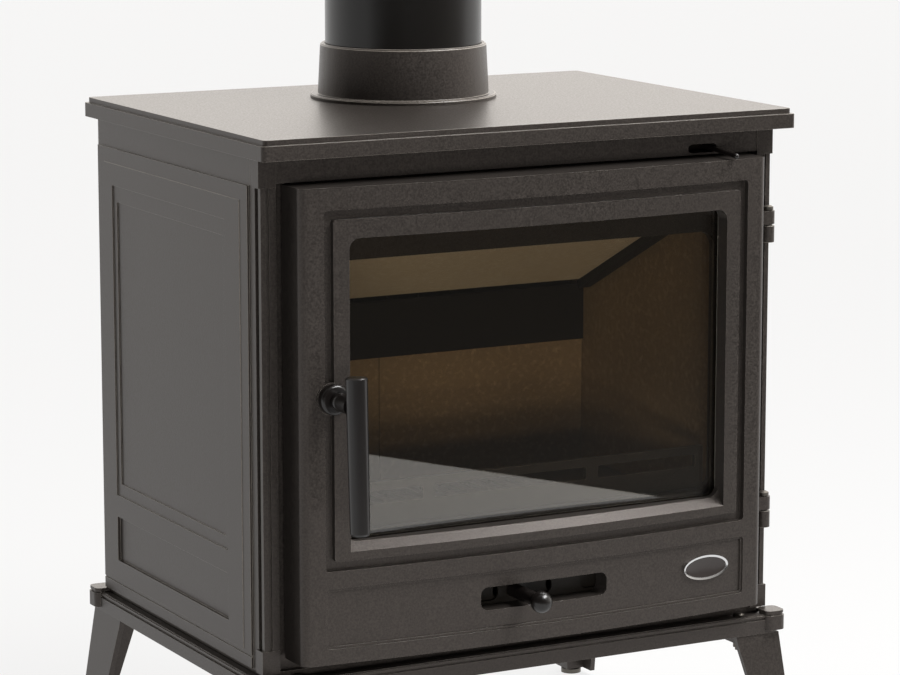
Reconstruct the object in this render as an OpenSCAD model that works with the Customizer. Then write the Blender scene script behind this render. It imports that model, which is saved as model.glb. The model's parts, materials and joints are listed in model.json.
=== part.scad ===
/* [Body] */
// Width across the outer faces of the cast side panels
body_w = 533; // [480:1:660]
// Depth of the body from the front pillars to the rear panel
body_d = 367.5; // [320:0.5:460]
// Height of the body between the stand and the top plate
body_h = 464; // [440:1:580]
// Thickness of the iron castings
casting_t = 8; // [7:0.5:10]
// Thickness of the front frame where the door closes on it
frame_t = 8; // [7:0.5:10]
// Width of each front pillar
pillar_w = 15.6; // [14:0.2:20]
// How far the pillars and the head rail stand in front of the frame
pillar_d = 12.7; // [11:0.1:16]

/* [Top plate] */
// How far the top plate overhangs each side
plate_over_side = 7.5; // [4:0.5:20]
// How far the top plate overhangs the front pillars
plate_over_front = 27.3; // [20:0.1:36]
// How far the top plate overhangs the rear panel
plate_over_rear = 10; // [4:0.5:20]
// Thickness of the plate's outer lip
plate_t = 13.3; // [11:0.1:18]
// Height of the raised step on the plate
plate_step = 5; // [3:0.5:8]
// How far the step is set in from the lip
plate_step_in = 3; // [2:0.5:8]

/* [Flue] */
// Outside diameter of the flue pipe
pipe_od = 150; // [120:1:160]
// Wall thickness of the flue pipe
pipe_wall = 2; // [1.5:0.5:3]
// Length of the flue pipe section
pipe_len = 250; // [150:10:400]
// Height of the flue collar above its flange
collar_h = 48; // [35:1:70]
// Wall thickness of the collar at its rim
collar_wall = 4.4; // [4:0.1:8]
// Thickness of the collar's flange
flange_t = 4; // [3:0.5:8]
// Distance from the rear lip of the plate to the flue centre
flue_back = 138; // [125:1:170]

/* [Stand] */
// Clear height of the legs below the stand rail
leg_h = 138; // [110:1:180]
// Outward lean of the legs in degrees
leg_splay = 6.4; // [3:0.1:8]
// Thickness of the leg castings
leg_t = 5; // [4:0.5:7]
// Height of the stand rail
rail_h = 18; // [14:0.5:26]
// How far the stand rail stands out past the body sides
rail_over = 5.5; // [4:0.5:10]
// Height of the seat that carries the body above the rail
seat_h = 4; // [2:0.5:8]
// How far the corner blocks stand out past the rail
corner_over = 4.5; // [2:0.5:8]
// Width of the rail's lip
lip_w = 9; // [7:0.5:14]

/* [Door] */
// Gap between each side of the door and the front pillar
door_side_gap = 8.5; // [5:0.5:14]
// Gap between the stand and the bottom of the door
door_gap = 11.5; // [8:0.5:16]
// Gap between the top of the door and the top plate
door_head_gap = 25; // [22:0.5:34]
// Radius of the door's bowed face, seen from above
door_r = 2340; // [1800:10:4000]
// Distance from the door's middle to its back edge
door_t = 50; // [46:1:60]
// Width of the door's rim
rim_w = 14; // [13:0.5:16]
// Width of the door's stiles beside the window
stile_w = 45.5; // [44:0.5:70]
// Height of the door below the window
window_foot = 108.5; // [108:0.5:120]
// Height of the door above the window
window_head = 45.5; // [44:0.5:70]
// Width of the raised frame round the window
frame_w = 15; // [12:0.5:16]
// Width of the groove round the raised frame
groove_w = 8.7; // [6:0.1:9]
// Thickness of the ceramic glass
glass_t = 4; // [3:0.5:5]
// Opening angle of the door in this view
door_open = 0; // [0:1:110]

/* [Fittings] */
// Radius of the hinge pins
pin_r = 4; // [3:0.5:4.5]
// Radius of the hinge knuckles
knuckle_r = 6.3; // [6:0.1:7]
// Length of the handle bar
handle_len = 139; // [110:1:160]
// Radius of the handle bar at its top
handle_r = 9.7; // [8:0.1:12]
// Radius of the handle's spindle
spindle_r = 6; // [5:0.1:6.5]
// Radius of the air knob
knob_r = 10; // [7:0.5:11]
// Width of the air slot
slot_w = 132; // [110:1:150]
// Height of the air slot
slot_h = 21.5; // [18:0.5:24]

/* [Firebox] */
// Thickness of the fire bricks
brick_t = 25; // [20:1:30]
// Height of the grate bed above the body's bottom
bed_z = 93; // [88:1:98]
// Slope of the baffle in degrees
baffle_slope = 26; // [15:1:32]
// Thickness of the baffle board
baffle_t = 25; // [20:1:30]
// Height of the ash pan
pan_h = 48; // [35:1:52]

/* [Clearances] */
// Gap between parts that are fastened or stand side by side
seam = 0.5; // [0.3:0.1:1]
// Running clearance of pins and spindles, on the radius
running = 0.05; // [0.02:0.01:0.1]
// Gap between sliding or swinging parts
slide_gap = 0.4; // [0.3:0.1:0.8]

/* [Hidden] */
$fn = 64;
cast = "#4f4b48";
steel_black = "#26241f";
brick = "#a58a66";
// heights
z_rail = leg_h + rail_h;
z_body = z_rail + seat_h;
z_plate = z_body + body_h;
z_lip = z_plate + plate_t;
z_top = z_lip + plate_step;
z_bed = z_body + bed_z;
// depths, from the front lip of the top plate
y_pillar = plate_over_front;
y_frame = y_pillar + pillar_d;
y_inside = y_frame + frame_t;
y_rear = y_pillar + body_d;
plate_w = body_w + 2 * plate_over_side;
plate_d = y_rear + plate_over_rear;
half_in = body_w / 2 - casting_t;
side_base = body_w / 2 - 2.6;
// stand and legs
stand_x = body_w / 2 + rail_over;
stand_y0 = 9;
stand_y1 = y_rear + 13.2;
leg_in = 1;
foot_h = 6;
bolt_in = [38, 13];
leg_x = stand_x - leg_in;
leg_drop = leg_h - foot_h;
leg_out = leg_drop * tan(leg_splay);
// door
y_seal = y_frame - 6;
y_door = y_seal - door_t;
y_skin = y_door + 24;
door_edge_r = 8;
z_door = z_body + door_gap;
z_door1 = z_plate - door_head_gap;
door_h = z_door1 - z_door;
pillar_in = body_w / 2 - 1.9 - pillar_w;
door_w = 2 * (pillar_in - door_side_gap);
window_w = door_w - 2 * stile_w;
window_h = door_h - window_foot - window_head;
window_z = z_door + window_foot;
window_r = 10;
frame_head = 2;
panel_x = window_w / 2 + frame_w + groove_w;
panel_z0 = z_door + 14;
panel_z1 = window_z - frame_w - groove_w - 15.5;
glass_lap = 8;
gasket_t = 2;
y_glass = y_skin + gasket_t;
rope_r = 4.7;
rope_in = rim_w / 2;
rope_bend = 12;
y_rope = y_frame - slide_gap - rope_r;
cam_reach = 12.1;
clip_w = 24;
clip_x = window_w / 2 - 45;
clip_lap = 5;
sill = [7, 9];
clip_t = 2;
screw_r = 2.5;
// hinge line
hinge_x = body_w / 2 - 8.7;
hinge_y = y_pillar - knuckle_r - 1;
knuckle_gap = 1.5;
body_knuckle = 16;
door_knuckle = 12.5;
hinge_z = [z_door + 69, z_door1 - 84];
// handle
handle_x = -(window_w / 2 + frame_w + 2.3);
handle_z = window_z + window_h / 2 - 4.25;
pad_r = 14.5;
y_pad = y_door + 8.5;
boss_t = 8.5;
ball_r = 8.5;
neck_r = 8;
handle_reach = 49.5;
y_handle = y_door - handle_reach + 9.5;
handle_tilt = 2.5;
handle_up = 27;
// primary air
slot_z = (panel_z0 + panel_z1) / 2 + 1.55;
air_x = -22;
air_span = 42;
air_pitch = 56;
air_plate_t = 2.5;
air_plate_h = 34;
air_plate_w = slot_w + 2 * air_span + 8;
guide_x = window_w / 2 - 27;
stem_r = 6.5;
y_knob = y_door - 29;
// air wash
wash_z = z_plate - 17;
wash_port = [80, 8.5];
wash_pitch = window_w / 2 - 90;
wash_travel = 22;
lever_x = window_w / 2 + 5;
lever_r = 2.2;
lever_drop = 3.9;
lever_len = 67;
// firebox
opening_x = door_w / 2 - 29.5;
opening_z0 = window_z - 1;
opening_h = window_h - 26.5;
brick_x = half_in - 1 - brick_t;
duct_room = 41.8;
y_brick = y_rear - casting_t - duct_room - brick_t;
baffle_back = y_brick - 2;
baffle_front = y_inside + 60;
baffle_z = z_plate - 188.5;
pan_x = door_w / 2 - 65.5;
pan_wall = 2;
runner_h = 13;
z_pan = z_body + casting_t + runner_h;
bed_t = 10;
grate = [brick_x - 102.5, 62, y_brick - y_inside - 50];
grate_lip = 8;
grate_bar = 10;
// balance point of the footprint, so the origin sits below the middle
y_front_most = y_handle - (handle_len - handle_up) * sin(handle_tilt) - (handle_r - 0.8) * cos(handle_tilt);
y_rear_most = stand_y1 - leg_in + leg_out / cos(leg_splay);
y_mid = (y_front_most + y_rear_most) / 2;
flue_y = plate_d - flue_back;
collar_r = pipe_od / 2 + 0.4 + collar_wall;
cover_z = z_plate - 112;

// ---- shared shapes ----
module place() translate([0, -y_mid, 0]) children();

module swung() translate([hinge_x, hinge_y, 0]) rotate(door_open) translate([-hinge_x, -hinge_y, 0])
    children();

module block(x0, x1, y0, y1, z0, z1) translate([x0, y0, z0]) cube([x1 - x0, y1 - y0, z1 - z0]);

module ypin(x, z, y0, y1, r) translate([x, y0, z]) rotate([-90, 0, 0]) cylinder(h = y1 - y0, r = r);

module round_rect(w, h, r) {
    translate([r, 0]) square([w - 2 * r, h]);
    translate([0, r]) square([w, h - 2 * r]);
    for (x = [r, w - r], y = [r, h - r]) translate([x, y]) circle(r = r);
}

// a rounded slab standing up, x0..x1 by z0..z1, from y0 back to y1
module upright(x0, x1, z0, z1, y0, y1, r) translate([x0, y1, z0]) rotate([90, 0, 0])
    linear_extrude(y1 - y0) round_rect(x1 - x0, z1 - z0, r);

module flat_slab(x0, x1, y0, y1, z0, z1, r) translate([x0, y0, z0])
    linear_extrude(z1 - z0) round_rect(x1 - x0, y1 - y0, r);

// ---- top plate and flue ----
collar_bolt_r = 2.5;
module collar_bolt_places() for (a = [90, 210, 330])
    translate([(pipe_od / 2 + 0.4 + 3.4) * cos(a), flue_y + (pipe_od / 2 + 0.4 + 3.4) * sin(a), 0]) children();

web_z = z_top - 9;
module top_plate() color(cast) place() difference() {
    union() {
        flat_slab(-plate_w / 2, plate_w / 2, 0, plate_d, z_plate, z_lip, 4);
        flat_slab(-plate_w / 2 + plate_step_in, plate_w / 2 - plate_step_in, plate_step_in,
            plate_d - plate_step_in, z_lip - 1, z_top, 4);
    }
    flat_slab(-half_in + 2, half_in - 2, y_inside + 4, y_rear - casting_t - 2, z_plate - 1, web_z, 10);
    translate([0, flue_y, web_z - 1]) cylinder(h = 20, r = pipe_od / 2 - 4, $fn = 128);
    collar_bolt_places() translate([0, 0, web_z - 1]) cylinder(h = 12, r = collar_bolt_r + running);
}

module flue_collar() color(cast) place() difference() {
    translate([0, flue_y, z_top]) rotate_extrude($fn = 128) polygon([
        [pipe_od / 2 - 4, 0], [collar_r + 9.6, 0], [collar_r + 9.6, flange_t - 1.2],
        [collar_r + 8.4, flange_t], [collar_r + 2.4, flange_t],
        [collar_r, flange_t + collar_h - 1.5], [collar_r - 1.5, flange_t + collar_h],
        [pipe_od / 2 + 0.4, flange_t + collar_h], [pipe_od / 2 + 0.4, flange_t + 2],
        [pipe_od / 2 - 4, flange_t + 2]]);
    collar_bolt_places() translate([0, 0, z_top - 1]) cylinder(h = 17, r = collar_bolt_r + running);
}

module collar_bolts() color("#8a8a86") place() collar_bolt_places() {
    translate([0, 0, web_z - 4]) cylinder(h = 4, r = 4.6, $fn = 6);
    translate([0, 0, web_z - 1]) cylinder(h = z_top + 14 - web_z, r = collar_bolt_r);
}

module flue_pipe() color("#1d1b18") place() translate([0, flue_y, z_top + flange_t + 2 + seam])
    difference() {
        cylinder(h = pipe_len, r = pipe_od / 2, $fn = 128);
        translate([0, 0, -1]) cylinder(h = pipe_len + 2, r = pipe_od / 2 - pipe_wall, $fn = 128);
    }

// ---- body castings ----
base_block = 21.5;
cap_block = z_plate - 26.5;
module pillar_groove(s) {
    // the bead at each pillar's corner is set off by a groove on either side
    block(s > 0 ? side_base - 3 : -side_base - 1, s > 0 ? side_base + 1 : -side_base + 3,
        y_pillar + 4.7, y_pillar + 11.7, z_body + base_block, cap_block);
    block(s > 0 ? side_base - 8 : -side_base + 4.5, s > 0 ? side_base - 4.5 : -side_base + 8,
        y_pillar - 1, y_pillar + 2, z_body + base_block, cap_block);
}

latch_notch = 16;
module front_frame() color(cast) place() difference() {
    union() {
        block(-side_base, side_base, y_frame, y_inside, z_body, z_plate);
        for (s = [-1, 1]) {
            block(s > 0 ? pillar_in : -side_base, s > 0 ? side_base : -pillar_in,
                y_pillar, y_frame, z_body, z_plate);
            block(s > 0 ? pillar_in : -body_w / 2 + 0.3, s > 0 ? body_w / 2 - 0.3 : -pillar_in,
                y_pillar - 0.8, y_frame, z_body, z_body + base_block);
            block(s > 0 ? pillar_in : -body_w / 2 + 0.3, s > 0 ? body_w / 2 - 0.3 : -pillar_in,
                y_pillar - 0.8, y_frame, cap_block, z_plate);
        }
        block(-pillar_in - 1, pillar_in + 1, y_pillar, y_frame + 1, z_door1 + 2, z_plate);
    }
    for (s = [-1, 1]) pillar_groove(s);
    // firebox and ash pan openings
    upright(-opening_x, opening_x, opening_z0, opening_z0 + opening_h, y_frame - 1, y_inside + 1, 15);
    upright(-pan_x - 12, pan_x + 12, z_pan + 1, z_pan + pan_h + 5, y_frame - 1, y_inside + 1, 6);
    // notch that lets the latch cam in and out
    block(handle_x - cam_reach - 2.1, -opening_x + 1, y_frame - 1, y_inside + 1,
        handle_z - latch_notch, handle_z + latch_notch);
    // air wash ports, which open downwards out of sight, and the slot of their lever
    for (i = [-1:1]) block(i * wash_pitch - wash_port[0] / 2, i * wash_pitch + wash_port[0] / 2,
        y_frame - 6, y_inside + 1, wash_z - wash_port[1] / 2, wash_z + wash_port[1] / 2);
    for (i = [-1:1]) block(i * wash_pitch - wash_port[0] / 2, i * wash_pitch + wash_port[0] / 2,
        y_frame - 6, y_frame - 0.5, z_door1 + 1, wash_z);
    upright(lever_x - wash_travel - 4.5, lever_x + 4.5, wash_z - 4.5, wash_z + 4, y_pillar - 1,
        y_inside + 1, 4);
    keeper_screw_places() ypin(0, 0, y_inside - 6, y_inside + 1, 2 + running);
}

field = [[3, 26.5, 1, 0.6], [19, 41, 15.5, 0]];
module side_shape() {
    // an upright slab with raised fields and two sunk panels, outer face towards +x
    y0 = y_inside + 0.3;
    difference() {
        union() {
            block(half_in, side_base, y0, y_rear, z_body, z_plate);
            for (f = field) block(half_in + 1, body_w / 2 - f[3], y_inside + f[0], y_rear - f[0],
                z_body + f[2], z_plate - f[1]);
        }
        block(body_w / 2 - 1.3, body_w, y_inside + 50, y_rear - 38.3, z_body + 100, z_plate - 62);
        block(body_w / 2 - 2.6, body_w, y_inside + 57, y_rear - 46.8, z_body + 112, z_plate - 77.5);
        block(body_w / 2 - 3, body_w, y_inside + 50.5, y_rear - 38.5, z_body + 35, z_body + 78.5);
        block(body_w / 2 - 1.6, body_w, y_inside, y_rear + 1, z_body + 11.5, z_body + 13);
    }
}
module right_side_panel() color(cast) place() side_shape();
module left_side_panel() color(cast) place() mirror([1, 0, 0]) side_shape();

cover_bolt_r = 3;
module cover_bolt_places() for (a = [45:90:315])
    translate([76 * cos(a), 0, cover_z + 76 * sin(a)]) children();

module rear_panel() color(cast) place() difference() {
    block(-half_in + 0.2, half_in - 0.2, y_rear - casting_t, y_rear, z_body, z_plate);
    ypin(0, cover_z, y_rear - casting_t - 1, y_rear + 1, 64);
    cover_bolt_places() ypin(0, 0, y_rear - casting_t - 1, y_rear + 1, cover_bolt_r + running);
}

module rear_outlet_cover() color(cast) place() difference() {
    union() {
        ypin(0, cover_z, y_rear, y_rear + 6, 88);
        ypin(0, cover_z, y_rear - 5, y_rear, 63.5);
    }
    cover_bolt_places() ypin(0, 0, y_rear - 1, y_rear + 7, cover_bolt_r + running);
}

module rear_cover_bolts() color("#8a8a86") place() cover_bolt_places() {
    translate([0, y_rear + 10, 0]) rotate([90, 0, 0]) cylinder(h = 4, r = 5.7, $fn = 6);
    ypin(0, 0, y_rear - casting_t - 2, y_rear + 7, cover_bolt_r);
}

module base_plate() color(cast) place()
    block(-half_in + 0.2, half_in - 0.2, y_inside + 0.2, y_rear - casting_t - 0.2, z_body, z_body + casting_t);

// ---- stand ----
seat_x = body_w / 2 - 4.5;
trough = 3;
corner_block = [22, 23];
bolt_x = leg_x - bolt_in[0];
bolt_y = [stand_y0 + bolt_in[1], stand_y1 - bolt_in[1]];
leg_bolt_r = 3;
module leg_bolt_places() for (x = [-bolt_x, bolt_x], y = bolt_y) translate([x, y, 0]) children();

module stand_frame() color(cast) place() difference() {
    union() {
        difference() {
            union() {
                flat_slab(-stand_x + 2, stand_x - 2, stand_y0 + 2, stand_y1 - 2, leg_h, z_rail, 8);
                flat_slab(-stand_x, stand_x, stand_y0, stand_y1, leg_h, z_rail - 5, 10);
                flat_slab(-stand_x + 0.5, stand_x - 0.5, stand_y0 + 0.5, stand_y1 - 0.5,
                    z_rail - 2.6, z_rail - 1, 9.5);
            }
            flat_slab(-stand_x + lip_w, stand_x - lip_w, stand_y0 + lip_w, stand_y1 - lip_w,
                z_rail - trough, z_rail + 1, 4);
        }
        flat_slab(-seat_x, seat_x, y_pillar + 5, y_rear - 4, z_rail - trough - 1, z_body, 4);
        for (x = [-stand_x - corner_over, stand_x + corner_over - corner_block[0]],
            y = [stand_y0 - corner_over, stand_y1 + corner_over - corner_block[1]]) {
            flat_slab(x, x + corner_block[0], y, y + corner_block[1], leg_h + 3, z_rail - 1, 7);
            flat_slab(x + 1.5, x + corner_block[0] - 1.5, y + 1.5, y + corner_block[1] - 1.5,
                leg_h + 3, z_rail + 1, 6);
            flat_slab(x + 0.8, x + corner_block[0] - 0.8, y + 0.8, y + corner_block[1] - 0.8,
                z_rail + 1, z_body - 0.3, 6);
        }
    }
    flat_slab(-stand_x + 36, stand_x - 36, y_inside - 1, stand_y1 - 36, leg_h - 1, z_body + 1, 12);
    leg_bolt_places() {
        translate([0, 0, leg_h - 1]) cylinder(h = rail_h + 2, r = leg_bolt_r + running);
        translate([0, 0, z_rail - trough]) cylinder(h = trough + seat_h + 1, r = 6);
    }
}

module leg_bolts() color("#5a5855") place() leg_bolt_places() {
    translate([0, 0, z_rail - trough]) cylinder(h = 3.5, r = 5.4);
    translate([0, 0, z_rail - trough + 3.4]) cylinder(h = 1.4, r1 = 5.4, r2 = 3.6);
    translate([0, 0, leg_h - 16]) cylinder(h = rail_h + 16 - trough, r = leg_bolt_r);
    translate([0, 0, leg_h - 13]) cylinder(h = 5, r = 5.5, $fn = 6);
}

leg_top = [47, 63];
leg_foot = [20, 36];
foot_in = 13;
// one angled leg: its outer corner at the origin, leaning towards -x -y
module leg_shape() {
    over = 14;
    difference() {
        union() {
            rotate([-leg_splay, leg_splay, 0]) difference() {
                union() {
                    translate([0, leg_t, 0]) rotate([90, 0, 0]) linear_extrude(leg_t) polygon([[0, over],
                        [leg_top[0], over], [leg_top[0], 0], [leg_foot[0], -leg_h - over], [0, -leg_h - over]]);
                    rotate([90, 0, 90]) linear_extrude(leg_t) polygon([[0, over],
                        [leg_top[1], over], [leg_top[1], 0], [leg_foot[1], -leg_h - over], [0, -leg_h - over]]);
                }
            }
            translate([0.5, 0.5, -8]) cube([leg_top[0] - 2, leg_top[1] - 2, 8]);
            translate([-leg_out + 2, -leg_out + 2, -leg_drop]) cube([22, 22, 9]);
        }
        translate([-50, -50, 0]) cube([200, 200, 60]);
        translate([-80, -80, -leg_drop - 60]) cube([200, 200, 60]);
        translate([foot_in - leg_out, foot_in - leg_out, -leg_drop - 1]) cylinder(h = 11, r = 4 + running);
        translate([bolt_in[0], bolt_in[1] - leg_in, -9]) cylinder(h = 10, r = leg_bolt_r + running);
    }
}
module leg_at(sx, sy) color(cast) place() translate([sx > 0 ? leg_x : -leg_x,
    sy > 0 ? stand_y1 - leg_in : stand_y0 + leg_in, leg_h]) mirror([sx > 0 ? 1 : 0, 0, 0])
    mirror([0, sy > 0 ? 1 : 0, 0]) leg_shape();
module front_left_leg() leg_at(-1, -1);
module front_right_leg() leg_at(1, -1);
module rear_left_leg() leg_at(-1, 1);
module rear_right_leg() leg_at(1, 1);

foot_x = leg_x + leg_out - foot_in;
foot_y = [stand_y0 + leg_in - leg_out + foot_in, stand_y1 - leg_in + leg_out - foot_in];
module levelling_feet() color("#3a3835") place() for (x = [-foot_x, foot_x], y = foot_y)
    translate([x, y, 0]) {
        cylinder(h = foot_h - 1.5, r = 10.5);
        translate([0, 0, foot_h - 1.6]) cylinder(h = 1.2, r1 = 10.5, r2 = 8.5);
        translate([0, 0, 1]) cylinder(h = foot_h + 20, r = 4);
    }

// ---- hinges ----
module bracket(z) color(cast) place() difference() {
    union() {
        translate([hinge_x, hinge_y, z]) cylinder(h = body_knuckle, r = knuckle_r);
        block(hinge_x - 5.6, hinge_x + 4.8, hinge_y, y_pillar, z, z + body_knuckle);
    }
    translate([hinge_x, hinge_y, z - 1]) cylinder(h = body_knuckle + 2, r = pin_r + 0.02);
}
module upper_hinge_bracket() bracket(hinge_z[1]);
module lower_hinge_bracket() bracket(hinge_z[0]);

pin_top = body_knuckle + knuckle_gap + door_knuckle + slide_gap + 0.2;
module hinge_pins() color("#2b2926") place() for (z = hinge_z) translate([hinge_x, hinge_y, z]) {
    translate([0, 0, 0.5]) cylinder(h = pin_top - 0.5, r = pin_r);
    translate([0, 0, pin_top]) cylinder(h = 3, r = pin_r + 1);
    translate([0, 0, pin_top + 2.9]) cylinder(h = 1.2, r1 = pin_r + 1, r2 = pin_r - 1);
}

// ---- latch keeper on the frame ----
keeper_x = handle_x - cam_reach - 2.1;
module keeper_screw_places() for (z = [handle_z - 24, handle_z + 24])
    translate([keeper_x - 3, 0, z]) children();
module latch_keeper() color("#6b6862") place() difference() {
    block(keeper_x - 8, keeper_x, y_inside, y_inside + 3, handle_z - 30, handle_z + 30);
    keeper_screw_places() ypin(0, 0, y_inside - 1, y_inside + 4, 2 + running);
}
module keeper_screws() color("#8a8a86") place() keeper_screw_places() {
    ypin(0, 0, y_inside - 5, y_inside + 3.5, 2);
    ypin(0, 0, y_inside + 3, y_inside + 5, 3.4);
}

// ---- air wash ----
wash_y = y_inside + slide_gap;
module airwash_slide() color(steel_black) place() difference() {
    block(-wash_pitch - 70, lever_x + 14, wash_y, wash_y + 2, wash_z - 7, wash_z + 7);
    for (i = [-1:1]) block(i * wash_pitch - wash_port[0] / 2, i * wash_pitch + wash_port[0] / 2,
        wash_y - 1, wash_y + 3, wash_z - wash_port[1] / 2, wash_z + wash_port[1] / 2);
    along_lever() cylinder(h = lever_len, r = lever_r + running);
}
module along_lever() translate([lever_x, wash_y + 5, wash_z + 0.8]) rotate([90 + lever_drop, 0, 0]) children();
module airwash_lever() color("#1c1a18") place() along_lever() {
    cylinder(h = lever_len, r = lever_r);
    translate([0, 0, lever_len]) sphere(r = lever_r + 0.4);
}
module airwash_guides() color(steel_black) place() for (s = [-1, 1], x = [-wash_pitch - 45, wash_pitch + 45]) {
    z = wash_z + s * (7 + slide_gap);
    block(x - 14, x + 14, y_inside, wash_y + 2.4 + slide_gap, min(z, z + s * 3), max(z, z + s * 3));
    block(x - 14, x + 14, wash_y + 2 + slide_gap, wash_y + 4 + slide_gap, min(z - s * 2.2, z + s * 3),
        max(z - s * 2.2, z + s * 3));
}

// ---- firebox lining ----
side_brick_top = z_plate - 60;
module side_brick() block(brick_x, brick_x + brick_t, y_inside + 12, y_brick + brick_t, z_bed, side_brick_top);
module right_fire_brick() color(brick) place() side_brick();
module left_fire_brick() color(brick) place() mirror([1, 0, 0]) side_brick();

rear_brick_top = baffle_z - 12;
module rear_left_fire_brick() color(brick) place()
    block(-brick_x + seam, -seam / 2, y_brick, y_brick + brick_t, z_bed, rear_brick_top);
module rear_right_fire_brick() color(brick) place()
    block(seam / 2, brick_x - seam, y_brick, y_brick + brick_t, z_bed, rear_brick_top);

duct_d = duct_room - 2 * seam;
duct_y = y_brick + brick_t + seam;
duct_x = brick_x - 112.5;
module rear_air_duct() color(steel_black) place() difference() {
    block(-duct_x, duct_x, duct_y, duct_y + duct_d, z_bed, rear_brick_top + 20);
    block(-duct_x + 3, duct_x - 3, duct_y + 3, duct_y + duct_d - 3, z_bed - 1, rear_brick_top + 17);
    for (x = [-90:36:90]) ypin(x, rear_brick_top + 9, duct_y - 1, duct_y + 4, 4);
}

module rear_baffle_plate() color(steel_black) place()
    block(-brick_x + 2, brick_x - 2, y_brick - 4 - seam, y_brick - seam, rear_brick_top - 45, baffle_z - 0.3);

baffle_len = (baffle_back - baffle_front) / cos(baffle_slope);
ledge_t = 8;
module on_slope() translate([0, baffle_back, baffle_z]) rotate([-baffle_slope, 0, 0]) children();
module baffle_board() color(brick) place() on_slope()
    translate([-brick_x + 1.5, -baffle_len, 0.2]) cube([2 * brick_x - 3, baffle_len - 14, baffle_t]);
module ledge() on_slope() translate([brick_x - 14, -baffle_len, -ledge_t])
    cube([14 - seam / 2, baffle_len - 10, ledge_t]);
module right_baffle_ledge() color(steel_black) place() ledge();
module left_baffle_ledge() color(steel_black) place() mirror([1, 0, 0]) ledge();

guard_slot = [160, 12.5, opening_x - 104];
module log_guard() color(cast) place() difference() {
    block(-opening_x + 3, opening_x - 3, y_inside + 2, y_inside + 7, z_bed, opening_z0 + 40);
    for (x = [-guard_slot[0] / 2 - guard_slot[1] - guard_slot[2], -guard_slot[0] / 2,
        guard_slot[0] / 2 + guard_slot[1]])
        upright(x, x + (x == -guard_slot[0] / 2 ? guard_slot[0] : guard_slot[2]),
            opening_z0 + 20, opening_z0 + 32, y_inside + 1, y_inside + 8, 2);
}

module grate_bed() color(cast) place() difference() {
    block(-half_in + 0.2, half_in - 0.2, y_inside + 0.2, y_rear - casting_t - 0.2, z_bed - bed_t, z_bed);
    block(-grate[0], grate[0], y_inside + grate[1], y_inside + grate[2], z_bed - 5, z_bed + 1);
    block(-grate[0] + grate_lip, grate[0] - grate_lip, y_inside + grate[1] + grate_lip,
        y_inside + grate[2] - grate_lip, z_bed - bed_t - 1, z_bed);
}

module grate() color(cast) place() difference() {
    block(-grate[0] + seam, grate[0] - seam, y_inside + grate[1] + seam, y_inside + grate[2] - seam,
        z_bed - 5, z_bed + 7);
    pitch = (2 * grate[0] - 2 * grate_lip - 8 - grate_bar) / 10;
    for (i = [0:9]) upright_slot(-grate[0] + grate_lip + 4 + grate_bar + i * pitch, pitch - grate_bar);
}
module upright_slot(x, w) flat_slab(x, x + w, y_inside + grate[1] + 18, y_inside + grate[2] - 18,
    z_bed - 6, z_bed + 8, w / 2 - 0.1);

module ash_pan_runners() color(steel_black) place() for (x = [25 - pan_x, pan_x - 25])
    block(x - 10, x + 10, y_inside + 4, pan_y[1] + 10, z_body + casting_t, z_pan);

pan_y = [y_inside + 3, y_rear - casting_t - 48.8];
module ash_pan() color("#3b3935") place() {
    difference() {
        block(-pan_x, pan_x, pan_y[0], pan_y[1], z_pan, z_pan + pan_h);
        block(-pan_x + pan_wall, pan_x - pan_wall, pan_y[0] + pan_wall, pan_y[1] - pan_wall,
            z_pan + pan_wall, z_pan + pan_h + 1);
    }
    difference() {
        block(-30, 30, y_frame - 3, pan_y[0] + 0.5, z_pan + 24, z_pan + 30);
        block(-24, 24, y_frame + 1, pan_y[0], z_pan + 23, z_pan + 31);
    }
}

// ---- door ----
module door_plan() {
    sag = door_r - sqrt(pow(door_r, 2) - pow(door_w / 2 - door_edge_r, 2));
    intersection() {
        translate([0, y_door + door_r]) circle(r = door_r, $fn = 360);
        translate([-door_w / 2 + door_edge_r, y_door - 1]) square([door_w - 2 * door_edge_r, door_t + 1]);
    }
    for (x = [-door_w / 2 + door_edge_r, door_w / 2 - door_edge_r])
        translate([x, y_door + sag + door_edge_r]) circle(r = door_edge_r);
    translate([-door_w / 2, y_door + sag + door_edge_r]) square([door_w, door_t - sag - door_edge_r]);
}

// cuts its children into the bowed face to an even depth
module into_face(depth) difference() {
    children();
    translate([0, y_door + door_r, z_door - 5]) cylinder(h = door_h + 10, r = door_r - depth, $fn = 360);
}

module clip_places() for (x = [-clip_x, clip_x], s = [-1, 1])
    translate([x, 0, s < 0 ? window_z - glass_lap - 8 : window_z + window_h + glass_lap + 8])
        mirror([0, 0, s < 0 ? 1 : 0]) children();

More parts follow.
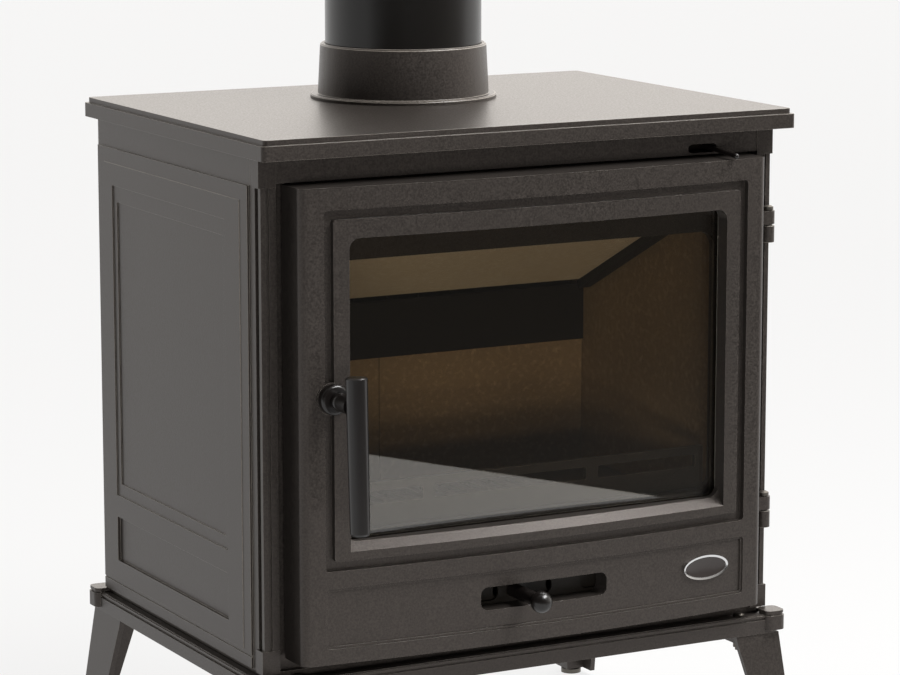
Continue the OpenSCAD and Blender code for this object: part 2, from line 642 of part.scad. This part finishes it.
module door_casting() color(cast) place() swung() difference() {
    union() {
        difference() {
            translate([0, 0, z_door]) linear_extrude(door_h) door_plan();
            // hollow behind the face, inside the rim
            upright(-door_w / 2 + rim_w, door_w / 2 - rim_w, z_door + rim_w, z_door1 - rim_w,
                y_skin, y_seal + 1, 6);
            // groove round the raised window frame
            into_face(6) difference() {
                upright(-panel_x, panel_x, window_z - frame_w - groove_w,
                    window_z + window_h + frame_w + frame_head + groove_w, y_door - 1, y_skin - 1, 3.5);
                upright(-window_w / 2 - frame_w, window_w / 2 + frame_w, window_z - frame_w,
                    window_z + window_h + frame_w + frame_head, y_door - 2, y_skin, 2.5);
            }
            into_face(1.4) upright(-panel_x, panel_x, panel_z0, panel_z1, y_door - 1, y_skin - 1, 3.5);
            into_face(3) upright(-panel_x + 2.2, panel_x - 2.2, panel_z0 + 2.2, panel_z1 - 2.2,
                y_door - 1, y_skin - 1, 2);
        }
        ypin(handle_x, handle_z, y_pad, y_skin - 0.5, pad_r);
        ypin(handle_x, handle_z, y_skin - 1, y_seal - 4, 8.6);
        clip_places() ypin(0, 0, y_skin - 1, y_glass + glass_t, 6);
        for (z = hinge_z) {
            zk = z + body_knuckle + knuckle_gap;
            translate([hinge_x, hinge_y, zk]) cylinder(h = door_knuckle, r = knuckle_r);
            block(door_w / 2 - 6, hinge_x, hinge_y - knuckle_r, hinge_y + knuckle_r, zk, zk + door_knuckle);
        }
    }
    upright(-window_w / 2, window_w / 2, window_z, window_z + window_h, y_door - 2, y_skin + 1, window_r);
    // sloped sill below the glass, following the bow
    difference() {
        block(-window_w / 2, window_w / 2, y_door - 2, y_door + sill[1] + 9, window_z - sill[0],
            window_z + window_r);
        translate([0, y_door + door_r, window_z - sill[0]])
            cylinder(h = sill[0] + window_r + 1, r1 = door_r,
                r2 = door_r - sill[1] * (sill[0] + window_r + 1) / sill[0], $fn = 360);
    }
    upright(-slot_w / 2, slot_w / 2, slot_z - slot_h / 2, slot_z + slot_h / 2, y_door - 2, y_skin + 1, 7);
    ypin(handle_x, handle_z, y_door - 2, y_seal + 1, spindle_r + running);
    clip_places() ypin(0, 0, y_skin - 6, y_glass + glass_t + 1, screw_r + running);
    for (z = hinge_z) translate([hinge_x, hinge_y, z + body_knuckle])
        cylinder(h = door_knuckle + 4, r = pin_r + running);
    // channel for the rope seal
    difference() {
        upright(-door_w / 2 + rope_in - rope_r - 0.1, door_w / 2 - rope_in + rope_r + 0.1,
            z_door + rope_in - rope_r - 0.1, z_door1 - rope_in + rope_r + 0.1,
            y_rope - rope_r - 0.2, y_seal + 1, rope_bend + rope_r + 0.1);
        upright(-door_w / 2 + rope_in + rope_r + 0.1, door_w / 2 - rope_in - rope_r - 0.1,
            z_door + rope_in + rope_r + 0.1, z_door1 - rope_in - rope_r - 0.1,
            y_rope - rope_r - 1, y_seal + 2, rope_bend - rope_r - 0.1);
    }
}

module door_rope_seal() color("#b9b4a6") place() swung() {
    x = door_w / 2 - rope_in;
    z0 = z_door + rope_in;
    z1 = z_door1 - rope_in;
    b = rope_bend;
    for (s = [-1, 1]) translate([s * x, y_rope, z0 + b]) cylinder(h = z1 - z0 - 2 * b, r = rope_r, $fn = 24);
    for (z = [z0, z1]) translate([-x + b, y_rope, z]) rotate([0, 90, 0])
        cylinder(h = 2 * x - 2 * b, r = rope_r, $fn = 24);
    for (c = [[x - b, z1 - b, 0], [-x + b, z1 - b, 90], [-x + b, z0 + b, 180], [x - b, z0 + b, 270]])
        translate([c[0], y_rope, c[1]]) rotate([90, 0, 0]) rotate(c[2])
            rotate_extrude(angle = 90, $fn = 48) translate([b, 0]) circle(r = rope_r, $fn = 24);
}

module glass_shape(lap, y0, y1, r) upright(-window_w / 2 - lap, window_w / 2 + lap,
    window_z - lap, window_z + window_h + lap, y0, y1, r);
module door_glass() color("#6e6a64", 0.35) place() swung()
    glass_shape(glass_lap, y_glass, y_glass + glass_t, 6);
module glass_gasket() color("#c9c4b8") place() swung() difference() {
    glass_shape(glass_lap, y_skin + 0.1, y_glass, 6);
    glass_shape(1, y_skin - 1, y_glass + 1, 6);
}
module glass_clips() color("#6b6862") place() swung() clip_places() difference() {
    block(-clip_w / 2, clip_w / 2, y_glass + glass_t, y_glass + glass_t + clip_t, -8 - clip_lap, 7);
    ypin(0, 0, y_glass, y_glass + glass_t + clip_t + 1, screw_r + running);
}
module glass_clip_screws() color("#8a8a86") place() swung() clip_places() {
    ypin(0, 0, y_skin - 5, y_glass + glass_t + clip_t + 0.5, screw_r);
    ypin(0, 0, y_glass + glass_t + clip_t, y_glass + glass_t + clip_t + 3, 4.4);
}

badge = [25.4, 11.6];
badge_x = window_w / 2 - 19;
module badge_plate() color("#c8c6c2") place() swung() {
    a = asin(badge_x / (door_r - 3));
    y = y_door + door_r - (door_r - 3) * cos(a) - 0.02;
    translate([badge_x, y, slot_z + 1.3]) rotate([90, 0, a]) linear_extrude(2.6)
        polygon([for (i = [0:59]) [badge[0] * cos(i * 6), badge[1] * sin(i * 6)]]);
}

module handle_boss() color("#201e1c") place() swung() translate([handle_x, y_pad, handle_z]) rotate([90, 0, 0])
    rotate_extrude() difference() {
        union() {
            translate([0, 0]) square([pad_r - 0.8, boss_t - 3]);
            translate([0, 0]) square([pad_r - 3.8, boss_t]);
            translate([pad_r - 3.8, boss_t - 3]) circle(r = 3);
        }
        translate([-20, -20]) square([20 + spindle_r + running, 60]);
    }

// ---- primary air slide ----
module air_slide_guides() color(steel_black) place() swung() for (s = [-1, 1]) {
    z = slot_z + s * (air_plate_h / 2 + slide_gap);
    block(-guide_x, guide_x, y_skin, y_skin + air_plate_t + 3 * slide_gap,
        min(z, z + s * 6), max(z, z + s * 6));
}
module air_port_plate() color(steel_black) place() swung() difference() {
    y = y_skin + air_plate_t + 3 * slide_gap;
    block(-guide_x, guide_x, y, y + 2, slot_z - air_plate_h / 2 - 6, slot_z + air_plate_h / 2 + 6);
    for (i = [-1.5:1.5]) upright(i * air_pitch - 13, i * air_pitch + 13, slot_z - 8, slot_z + 8,
        y - 1, y + 3, 7);
}
air_y = y_skin + slide_gap;
module air_slide_plate() color(steel_black) place() swung() difference() {
    block(air_x - air_plate_w / 2, air_x + air_plate_w / 2, air_y, air_y + air_plate_t,
        slot_z - air_plate_h / 2, slot_z + air_plate_h / 2);
    for (i = [-1.5:1.5]) upright(air_x + i * air_pitch - 13, air_x + i * air_pitch + 13,
        slot_z - 8, slot_z + 8, air_y - 1, air_y + air_plate_t + 1, 7);
    ypin(air_x, slot_z, air_y - 1, air_y + air_plate_t + 1, 2.5 + running);
}
module air_slide_knob() color("#201e1c") place() swung() {
    ypin(air_x, slot_z, y_knob, air_y, stem_r);
    ypin(air_x, slot_z, air_y - 1, air_y + air_plate_t, 2.5);
    translate([air_x, y_knob, slot_z]) rotate([-90, 0, 0]) sphere(r = knob_r);
}

// ---- handle and latch ----
module handle_spindle() color("#24211f") place() swung() {
    ypin(handle_x, handle_z, y_pad - boss_t - 1, y_inside + 20, spindle_r);
    ypin(handle_x, handle_z, y_handle, y_pad - boss_t - ball_r, spindle_r - 0.5);
    ypin(handle_x, handle_z, y_handle + handle_r + 0.8, y_pad - boss_t - ball_r, neck_r);
    translate([handle_x, y_pad - boss_t - ball_r - 0.3, handle_z]) rotate([-90, 0, 0]) sphere(r = ball_r);
}
module handle_bar() color("#26211f") place() swung() difference() {
    translate([handle_x, y_handle, handle_z]) rotate([-handle_tilt, 0, 0])
        translate([0, 0, handle_up - handle_len]) {
            cylinder(h = 2, r1 = handle_r - 2.3, r2 = handle_r - 0.8);
            translate([0, 0, 2]) cylinder(h = handle_len - 3, r1 = handle_r - 0.8, r2 = handle_r);
            translate([0, 0, handle_len - 1]) cylinder(h = 1, r1 = handle_r, r2 = handle_r - 1);
        }
    ypin(handle_x, handle_z, y_handle - 1, y_handle + 20, spindle_r - 0.5 + running);
}
cam_y = y_inside + 4;
module latch_cam() color("#6b6862") place() swung() difference() {
    union() {
        ypin(handle_x, handle_z, cam_y, cam_y + 6, 9.5);
        upright(handle_x - cam_reach, handle_x, handle_z - 5, handle_z + 5, cam_y, cam_y + 6, 3);
    }
    ypin(handle_x, handle_z, cam_y - 1, cam_y + 7, spindle_r + running);
}
module latch_nut() color("#8a8a86") place() swung() difference() {
    translate([handle_x, cam_y + 6.2, handle_z]) rotate([-90, 0, 0]) cylinder(h = 5, r = 9, $fn = 6);
    ypin(handle_x, handle_z, cam_y, cam_y + 13, spindle_r + running);
}

top_plate();
flue_collar();
collar_bolts();
flue_pipe();
front_frame();
left_side_panel();
right_side_panel();
rear_panel();
rear_outlet_cover();
rear_cover_bolts();
base_plate();
stand_frame();
front_left_leg();
front_right_leg();
rear_left_leg();
rear_right_leg();
leg_bolts();
levelling_feet();
upper_hinge_bracket();
lower_hinge_bracket();
hinge_pins();
latch_keeper();
keeper_screws();
airwash_slide();
airwash_lever();
airwash_guides();
left_fire_brick();
right_fire_brick();
rear_left_fire_brick();
rear_right_fire_brick();
rear_air_duct();
rear_baffle_plate();
baffle_board();
left_baffle_ledge();
right_baffle_ledge();
log_guard();
grate_bed();
grate();
ash_pan_runners();
ash_pan();
door_casting();
door_rope_seal();
door_glass();
glass_gasket();
glass_clips();
glass_clip_screws();
badge_plate();
handle_boss();
air_slide_guides();
air_port_plate();
air_slide_plate();
air_slide_knob();
handle_spindle();
handle_bar();
latch_cam();
latch_nut();
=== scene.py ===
import json
import math

import bpy
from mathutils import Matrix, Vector


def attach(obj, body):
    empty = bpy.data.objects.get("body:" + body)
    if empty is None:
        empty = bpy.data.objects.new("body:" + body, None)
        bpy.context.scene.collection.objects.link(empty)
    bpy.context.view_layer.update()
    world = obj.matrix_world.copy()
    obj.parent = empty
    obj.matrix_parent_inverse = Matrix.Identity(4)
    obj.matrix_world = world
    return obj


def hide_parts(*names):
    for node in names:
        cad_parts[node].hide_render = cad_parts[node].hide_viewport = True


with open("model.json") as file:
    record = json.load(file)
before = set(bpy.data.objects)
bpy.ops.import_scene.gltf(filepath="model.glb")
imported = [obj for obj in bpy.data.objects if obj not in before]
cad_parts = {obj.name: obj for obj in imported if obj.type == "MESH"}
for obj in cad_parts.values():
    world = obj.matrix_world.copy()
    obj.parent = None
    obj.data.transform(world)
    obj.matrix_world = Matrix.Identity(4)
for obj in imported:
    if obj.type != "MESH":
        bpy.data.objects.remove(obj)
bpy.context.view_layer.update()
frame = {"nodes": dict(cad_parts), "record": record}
scene = bpy.context.scene
scene.view_settings.view_transform = "Standard"

# ---------------------------------------------------------------------------
# Studio: a pale paper floor, one soft light overhead in front, a bright wall
# behind, and dark cards on the floor that only the gloss picks up.
# ---------------------------------------------------------------------------


def linear(code):
    """An sRGB hex colour as linear red, green, blue and alpha."""
    parts = [int(code[i : i + 2], 16) / 255 for i in (0, 2, 4)]
    parts = [c / 12.92 if c <= 0.04045 else ((c + 0.055) / 1.055) ** 2.4 for c in parts]
    return (*parts, 1.0)


def add(tree, kind, links=None, **settings):
    """Adds one shader node; settings are its own fields or its sockets by name."""
    made = tree.nodes.new(kind)
    for name, value in settings.items():
        label = name.replace("_", " ")
        if hasattr(made, name):
            setattr(made, name, value)
        else:
            found = [s for s in made.inputs if s.name.lower() == label.lower() and s.enabled]
            found[0].default_value = value
    for target, source in (links or {}).items():
        socket = made.inputs[target] if isinstance(target, int) else [
            s for s in made.inputs if s.name == target and s.enabled
        ][0]
        tree.links.new(source, socket)
    return made


def fresh(name):
    """An empty node material with its output node."""
    made = bpy.data.materials.new(name)
    made.use_nodes = True
    made.node_tree.nodes.clear()
    out = made.node_tree.nodes.new("ShaderNodeOutputMaterial")
    return made, made.node_tree, out


sensor_mm, lens_mm = 36, 139.05
view_turn, view_tilt = math.radians(-28.078), math.radians(10.107)
lens_data = bpy.data.cameras.new("studio_camera")
lens_data.sensor_width = sensor_mm
lens_data.lens = lens_mm
lens_data.clip_end = 100
camera = bpy.data.objects.new("studio_camera", lens_data)
scene.collection.objects.link(camera)
aim = Vector(
    (
        -math.sin(view_turn) * math.cos(view_tilt),
        math.cos(view_turn) * math.cos(view_tilt),
        -math.sin(view_tilt),
    )
)
camera.location = (-1.5289, -2.8707, 1.0004)
camera.rotation_mode = "QUATERNION"
camera.rotation_quaternion = aim.to_track_quat("-Z", "Y")
scene.camera = camera

paper, tree, out = fresh("white_studio_paper")
surface = add(
    tree,
    "ShaderNodeBsdfPrincipled",
    Base_Color=linear("585858"),
    Roughness=0.9,
    Specular_IOR_Level=0.1,
    Emission_Color=linear("f6f6f6"),
    Emission_Strength=0.86,
)
tree.links.new(surface.outputs[0], out.inputs[0])
floor_width = 80
bpy.ops.mesh.primitive_plane_add(size=floor_width, location=(0, 0, 0))
floor = bpy.context.object
floor.name = "paper_floor"
floor.data.materials.append(paper)
floor.visible_diffuse = False

card_black, tree, out = fresh("black_card")
surface = add(tree, "ShaderNodeBsdfPrincipled", Base_Color=linear("1a1a1a"), Roughness=0.9)
tree.links.new(surface.outputs[0], out.inputs[0])
# the near card's long edge is what the glass mirrors as a slanting line
near_edge, far_edge = Vector((1.155, -0.528)), Vector((-0.46, -3.64))
card_width, card_run_on = 9, 6
across = (near_edge - far_edge).normalized()
side = Vector((across.y, -across.x)) * card_width
start = far_edge - across * card_run_on
far_half, far_front, far_back = 12, -1.95, -13.95
outlines = {
    "dark_card": [start, near_edge, start + side, near_edge + side],
    "far_dark_card": [
        Vector((x, y)) for y in (far_back, far_front) for x in (-far_half, far_half)
    ],
}
card_lift, card_gap = 0.002, 0.001
for step, (name, corners) in enumerate(outlines.items()):
    bpy.ops.mesh.primitive_plane_add(size=1, location=(0, 0, 0))
    card = bpy.context.object
    card.name = name
    card.data.materials.append(card_black)
    for point, corner in zip(card.data.vertices, corners):
        point.co = (corner.x, corner.y, card_lift + step * card_gap)
    card.visible_camera = False
    card.visible_diffuse = False
    card.visible_shadow = False

studio = bpy.data.worlds.new("soft_studio")
scene.world = studio
studio.use_nodes = True
tree = studio.node_tree
tree.nodes.clear()
out = tree.nodes.new("ShaderNodeOutputWorld")
where = add(tree, "ShaderNodeTexCoord")
apart = add(tree, "ShaderNodeSeparateXYZ", {"Vector": where.outputs["Generated"]})
# brightest behind and to the right, dim where the viewer stands
slant = add(
    tree,
    "ShaderNodeMath",
    {0: apart.outputs["X"], 2: apart.outputs["Y"]},
    operation="MULTIPLY_ADD",
)
slant.inputs[1].default_value = 0.9
depth = add(
    tree,
    "ShaderNodeMapRange",
    {"Value": slant.outputs[0]},
    From_Min=-0.60,
    From_Max=1.25,
    To_Min=0.04,
    To_Max=2.2,
)
gloss = add(tree, "ShaderNodeBackground", {"Strength": depth.outputs[0]}, Color=linear("fffaf4"))
plain = add(tree, "ShaderNodeBackground", Color=linear("f7f7f7"), Strength=1.0)
path = add(tree, "ShaderNodeLightPath")
pick = add(
    tree,
    "ShaderNodeMixShader",
    {0: path.outputs["Is Camera Ray"], 1: gloss.outputs[0], 2: plain.outputs[0]},
)
tree.links.new(pick.outputs[0], out.inputs[0])

panels = {
    "overhead_softbox": {
        "place": (0.9, -1.05, 2.1),
        "towards": (0, -0.1, 0.4),
        "size": (1.6, 0.7),
        "watts": 74,
        "mirrored": True,
    },
    "firebox_fill": {
        "place": (-1.2, -2.8, 0.27),
        "towards": (0, 0.1, 0.45),
        "size": (1.6, 0.45),
        "watts": 58,
        "mirrored": False,
    },
}
for name, panel in panels.items():
    data = bpy.data.lights.new(name, "AREA")
    data.shape = "RECTANGLE"
    data.size, data.size_y = panel["size"]
    data.energy = panel["watts"]
    lamp = bpy.data.objects.new(name, data)
    scene.collection.objects.link(lamp)
    lamp.location = panel["place"]
    lamp.rotation_mode = "QUATERNION"
    beam = Vector(panel["towards"]) - Vector(panel["place"])
    lamp.rotation_quaternion = beam.to_track_quat("-Z", "Y")
    lamp.visible_camera = False
    lamp.visible_glossy = panel["mirrored"]

# ---------------------------------------------------------------------------
# Body castings: the top plate, collar, frame, side and rear panels and the
# base are grey cast iron, sand cast, bolted and cemented together and sprayed
# with heat-resistant stove paint. Grinding rounds every edge a little.
# ---------------------------------------------------------------------------


def grainy(tree, size_mm, depth_mm, detail=3.0):
    """A fine bump, grains size_mm across and depth_mm deep."""
    place = add(tree, "ShaderNodeTexCoord")
    grain = add(
        tree,
        "ShaderNodeTexNoise",
        {"Vector": place.outputs["Object"]},
        Scale=1000 / size_mm / 2,
        Detail=detail,
        Roughness=0.6,
    )
    bump = add(
        tree, "ShaderNodeBump", {"Height": grain.outputs[0]}, Strength=1.0, Distance=depth_mm / 1000
    )
    return place, grain, bump


def two_tone(name, size_mm, depth_mm, dark, pale, **settings):
    """A grained material whose colour runs from dark to pale over the grain."""
    made, tree, out = fresh(name)
    _, grain, bump = grainy(tree, size_mm, depth_mm)
    mixed = add(tree, "ShaderNodeMix", {"Factor": grain.outputs[0]}, data_type="RGBA")
    mixed.inputs[6].default_value = linear(dark)
    mixed.inputs[7].default_value = linear(pale)
    surface = add(
        tree,
        "ShaderNodeBsdfPrincipled",
        {"Base Color": mixed.outputs[2], "Normal": bump.outputs[0]},
        **settings,
    )
    tree.links.new(surface.outputs[0], out.inputs[0])
    return made


# Satin stove paint on cast iron: a warm charcoal over sand-cast grain. The
# grain is drawn 0.9 mm wide, coarser than real, so that it shows a little.
cast_paint, tree, out = fresh("satin_stove_paint_on_cast_iron")
_, grain, bump = grainy(tree, 0.9, 0.10)
spread = add(
    tree, "ShaderNodeMapRange", {"Value": grain.outputs[0]}, From_Min=0.36, From_Max=0.64
)
tone = add(tree, "ShaderNodeMix", {"Factor": spread.outputs[0]}, data_type="RGBA")
tone.inputs[6].default_value = linear("201d1b")
tone.inputs[7].default_value = linear("322e2b")
speck = add(
    tree,
    "ShaderNodeMapRange",
    {"Value": grain.outputs[0]},
    From_Min=0.35,
    From_Max=0.7,
    To_Min=0.31,
    To_Max=0.44,
)
surface = add(
    tree,
    "ShaderNodeBsdfPrincipled",
    {"Base Color": tone.outputs[2], "Roughness": speck.outputs[0], "Normal": bump.outputs[0]},
    IOR=1.5,
    Specular_Tint=linear("fff3ec"),
)
tree.links.new(surface.outputs[0], out.inputs[0])

# The same paint on each rounded edge, paler and smoother: partly paint run thin
# and rubbed in use, partly a painted highlight, so each moulding ends in a fine
# light line.
rubbed_and_highlit_paint = two_tone(
    "stove_paint_rubbed_and_highlit_at_edges", 1.2, 0.05, "5a554f", "8b847b", Roughness=0.34, IOR=1.5
)

weld_within, flat_within = 2e-5, math.radians(0.3)
sharp_above, smooth_below = math.radians(30), math.radians(35)


def merged(node, name, first, second):
    """A welded copy of a node in two finishes, selected and active."""
    piece = bpy.data.objects.new(name, frame["nodes"][node].data.copy())
    scene.collection.objects.link(piece)
    bpy.ops.object.select_all(action="DESELECT")
    piece.select_set(True)
    bpy.context.view_layer.objects.active = piece
    piece.data.materials.clear()
    piece.data.materials.append(first)
    piece.data.materials.append(second)
    bpy.ops.object.mode_set(mode="EDIT")
    bpy.ops.mesh.select_all(action="SELECT")
    bpy.ops.mesh.remove_doubles(threshold=weld_within)
    bpy.ops.mesh.dissolve_limited(angle_limit=flat_within)
    bpy.ops.object.mode_set(mode="OBJECT")
    return piece


def rounded(node, body, radius_mm, skin, edge):
    """A merged copy of a node with its edges rounded, which stands for it."""
    piece = merged(node, node + "_finished", skin, edge)
    round_off = piece.modifiers.new("round_off", "BEVEL")
    round_off.width = radius_mm / 1000
    round_off.segments = 2
    round_off.limit_method = "ANGLE"
    round_off.angle_limit = sharp_above
    round_off.use_clamp_overlap = True
    # the rounded edges take the second finish; on the castings that is the paler paint, partly wear
    # and partly a painted highlight
    round_off.material = 1
    bpy.ops.object.modifier_apply(modifier=round_off.name)
    bpy.ops.object.shade_smooth_by_angle(angle=smooth_below)
    flats = piece.modifiers.new("flats", "WEIGHTED_NORMAL")
    flats.keep_sharp = True
    bpy.ops.object.modifier_apply(modifier=flats.name)
    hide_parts(node)
    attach(piece, body)


def coat(nodes, finish):
    """Gives CAD nodes their finish."""
    for node in nodes:
        frame["nodes"][node].data.materials.clear()
        frame["nodes"][node].data.materials.append(finish)


for node, radius in {
    "top_plate": 1.2,
    "flue_collar": 0.4,
    "front_frame": 0.7,
    "left_side_panel": 0.5,
    "right_side_panel": 0.5,
    "rear_panel": 0.9,
    "rear_outlet_cover": 1.0,
}.items():
    rounded(node, "stove", radius, cast_paint, rubbed_and_highlit_paint)
coat(["base_plate"], cast_paint)

# ---------------------------------------------------------------------------
# Flue pipe: sheet steel, rolled and welded, painted satin black and dropped
# into the collar. It is smoother than the castings and nearly black.
# ---------------------------------------------------------------------------


def one_tone(name, size_mm, depth_mm, **settings):
    """A grained material in one colour; settings are its surface sockets."""
    made, tree, out = fresh(name)
    *_, bump = grainy(tree, size_mm, depth_mm)
    surface = add(tree, "ShaderNodeBsdfPrincipled", {"Normal": bump.outputs[0]}, **settings)
    tree.links.new(surface.outputs[0], out.inputs[0])
    return made


pipe_black = one_tone(
    "satin_black_painted_steel", 1.4, 0.02, Base_Color=linear("0d0b09"), Roughness=0.24, IOR=1.5
)
coat(["flue_pipe"], pipe_black)

# ---------------------------------------------------------------------------
# Stand and legs: a cast rail that carries the body, on four splayed cast
# legs, each held up by one bolt and standing on a levelling foot.
# ---------------------------------------------------------------------------
rounded("stand_frame", "stove", 0.5, cast_paint, rubbed_and_highlit_paint)
for node in ("front_left_leg", "front_right_leg", "rear_left_leg", "rear_right_leg"):
    rounded(node, "stove", 0.9, cast_paint, rubbed_and_highlit_paint)

# Zinc-plated steel dulled by heat: soft grey, with blurred reflections.
dull_steel = one_tone(
    "heat_dulled_zinc_plated_steel",
    1.0,
    0.02,
    Base_Color=linear("6a6660"),
    Metallic=1.0,
    Roughness=0.45,
)
fixings = [
    sub["node"] for sub in frame["record"]["subparts"] if sub["material_slot"] == "fastener_steel"
]
coat(fixings, dull_steel)

# ---------------------------------------------------------------------------
# Sheet steel inside the stove: ducts, ledges, runners, slides and the ash
# pan, folded and laser cut, blued and then darkened by the fire, and made
# near black as partly painted shade, so the slide seen in the door's slot is
# as dark as the shade there.
# ---------------------------------------------------------------------------
# near black: partly fire-darkened steel, partly painted shade for the slide in the door's slot
dark_and_shade_painted_sheet = two_tone(
    "fire_darkened_and_shade_painted_sheet_steel", 2.4, 0.05, "0d0b09", "181410", Roughness=0.62, IOR=1.5
)
sheets = [
    sub["node"]
    for sub in frame["record"]["subparts"]
    if sub["material_slot"] == "black_steel" and sub["node"] != "flue_pipe"
]
coat(sheets, dark_and_shade_painted_sheet)

# ---------------------------------------------------------------------------
# Hinge brackets: two small castings on the right pillar, painted like it,
# that carry the door's loose pins.
# ---------------------------------------------------------------------------
for node in ("upper_hinge_bracket", "lower_hinge_bracket"):
    rounded(node, "stove", 0.6, cast_paint, rubbed_and_highlit_paint)

# ---------------------------------------------------------------------------
# Firebox lining: pressed vermiculite boards stood loose against the walls,
# and a cleaner board laid on ledges as the baffle.
# ---------------------------------------------------------------------------


def boards(name, dark, pale, fleck_colour):
    """Pressed vermiculite: matte, blotched, flecked with mica 3 mm across."""
    made, tree, out = fresh(name)
    place, grain, bump = grainy(tree, 3.0, 0.25, 5.0)
    blotch = add(
        tree, "ShaderNodeTexNoise", {"Vector": place.outputs["Object"]}, Scale=9.0, Detail=5.0
    )
    body = add(tree, "ShaderNodeMix", {"Factor": blotch.outputs[0]}, data_type="RGBA")
    body.inputs[6].default_value = linear(dark)
    body.inputs[7].default_value = linear(pale)
    fleck = add(
        tree, "ShaderNodeMapRange", {"Value": grain.outputs[0]}, From_Min=0.5, From_Max=0.75
    )
    spot = add(
        tree, "ShaderNodeMix", {"Factor": fleck.outputs[0], 6: body.outputs[2]}, data_type="RGBA"
    )
    spot.inputs[7].default_value = linear(fleck_colour)
    surface = add(
        tree,
        "ShaderNodeBsdfPrincipled",
        {"Base Color": spot.outputs[2], "Normal": bump.outputs[0]},
        Roughness=0.9,
    )
    tree.links.new(surface.outputs[0], out.inputs[0])
    return made


used_board = boards("smoked_vermiculite_board", "735f45", "8f795a", "9c8565")
clean_board = boards("clean_vermiculite_board", "cdbb9c", "dccbb0", "e4d6bd")
for node in (
    "left_fire_brick",
    "right_fire_brick",
    "rear_left_fire_brick",
    "rear_right_fire_brick",
):
    rounded(node, "stove", 1.2, used_board, used_board)
rounded("baffle_board", "stove", 1.2, clean_board, clean_board)

# ---------------------------------------------------------------------------
# Log guard and grate: heavy castings that lie in the firebox, given the same
# charcoal as the body.
# ---------------------------------------------------------------------------
for node, radius in {"log_guard": 0.8, "grate_bed": 0.8, "grate": 1.2}.items():
    rounded(node, "stove", radius, cast_paint, rubbed_and_highlit_paint)

# ---------------------------------------------------------------------------
# Door: one bowed casting with a raised window frame, a sunk lower panel and
# a slot, painted like the body and hung on two loose pins.
# ---------------------------------------------------------------------------
rounded("door_casting", "door", 0.6, cast_paint, rubbed_and_highlit_paint)

# Knitted glass-fibre rope glued into the door's channel, and flat tape under
# the glass: off-white, matte and rough.
rope_white = two_tone(
    "knitted_glass_fibre_rope", 2.0, 0.3, "9c9688", "c4beb1", Roughness=0.95
)
coat(["door_rope_seal", "glass_gasket"], rope_white)

# Polished glass ceramic with a faint brown cast, clamped by four clips:
# clear, with plain mirror reflections and a thin film that strengthens them.
stove_glass, tree, out = fresh("polished_glass_ceramic")
clear = add(tree, "ShaderNodeBsdfTransparent", Color=linear("efebe4"))
shine = add(tree, "ShaderNodeBsdfGlossy", Color=linear("ffffff"), Roughness=0.01)
edge = add(tree, "ShaderNodeFresnel", IOR=1.68)
glass = add(
    tree,
    "ShaderNodeMixShader",
    {0: edge.outputs[0], 1: clear.outputs[0], 2: shine.outputs[0]},
)
tree.links.new(glass.outputs[0], out.inputs[0])
coat(["door_glass"], stove_glass)

# ---------------------------------------------------------------------------
# Badge: a small blank oval, die cast and chromed, with a sunk field of dark
# enamel inside a 2 mm rim.
# ---------------------------------------------------------------------------
chrome = one_tone(
    "polished_chrome_plate",
    1.5,
    0.004,
    Base_Color=linear("d8d8d8"),
    Metallic=1.0,
    Roughness=0.18,
)
enamel = one_tone(
    "charcoal_enamel", 1.5, 0.01, Base_Color=linear("2c2725"), Roughness=0.25, IOR=1.5
)
rim_width, enamel_sink = 0.0020, 0.0006
badge = merged("badge_plate", "oval_badge", chrome, enamel)
bpy.ops.object.mode_set(mode="EDIT")
bpy.ops.mesh.select_all(action="DESELECT")
bpy.ops.object.mode_set(mode="OBJECT")
for face in badge.data.polygons:
    face.select = face.normal.y < -0.95
bpy.ops.object.mode_set(mode="EDIT")
bpy.ops.mesh.select_mode(type="FACE")
bpy.ops.mesh.inset(thickness=rim_width, depth=-enamel_sink)
badge.active_material_index = 1
bpy.ops.object.material_slot_assign()
bpy.ops.object.mode_set(mode="OBJECT")
bpy.ops.object.shade_smooth_by_angle(angle=smooth_below)
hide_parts("badge_plate")
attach(badge, "door")

# ---------------------------------------------------------------------------
# Handle and knobs: turned steel, powder coated satin black, on the spindle
# and on the two air slides.
# ---------------------------------------------------------------------------
handle_black = one_tone(
    "satin_black_powder_coat", 1.2, 0.015, Base_Color=linear("100d0c"), Roughness=0.28, IOR=1.5
)
coat(
    ["handle_spindle", "handle_bar", "handle_boss", "air_slide_knob", "airwash_lever"],
    handle_black,
)
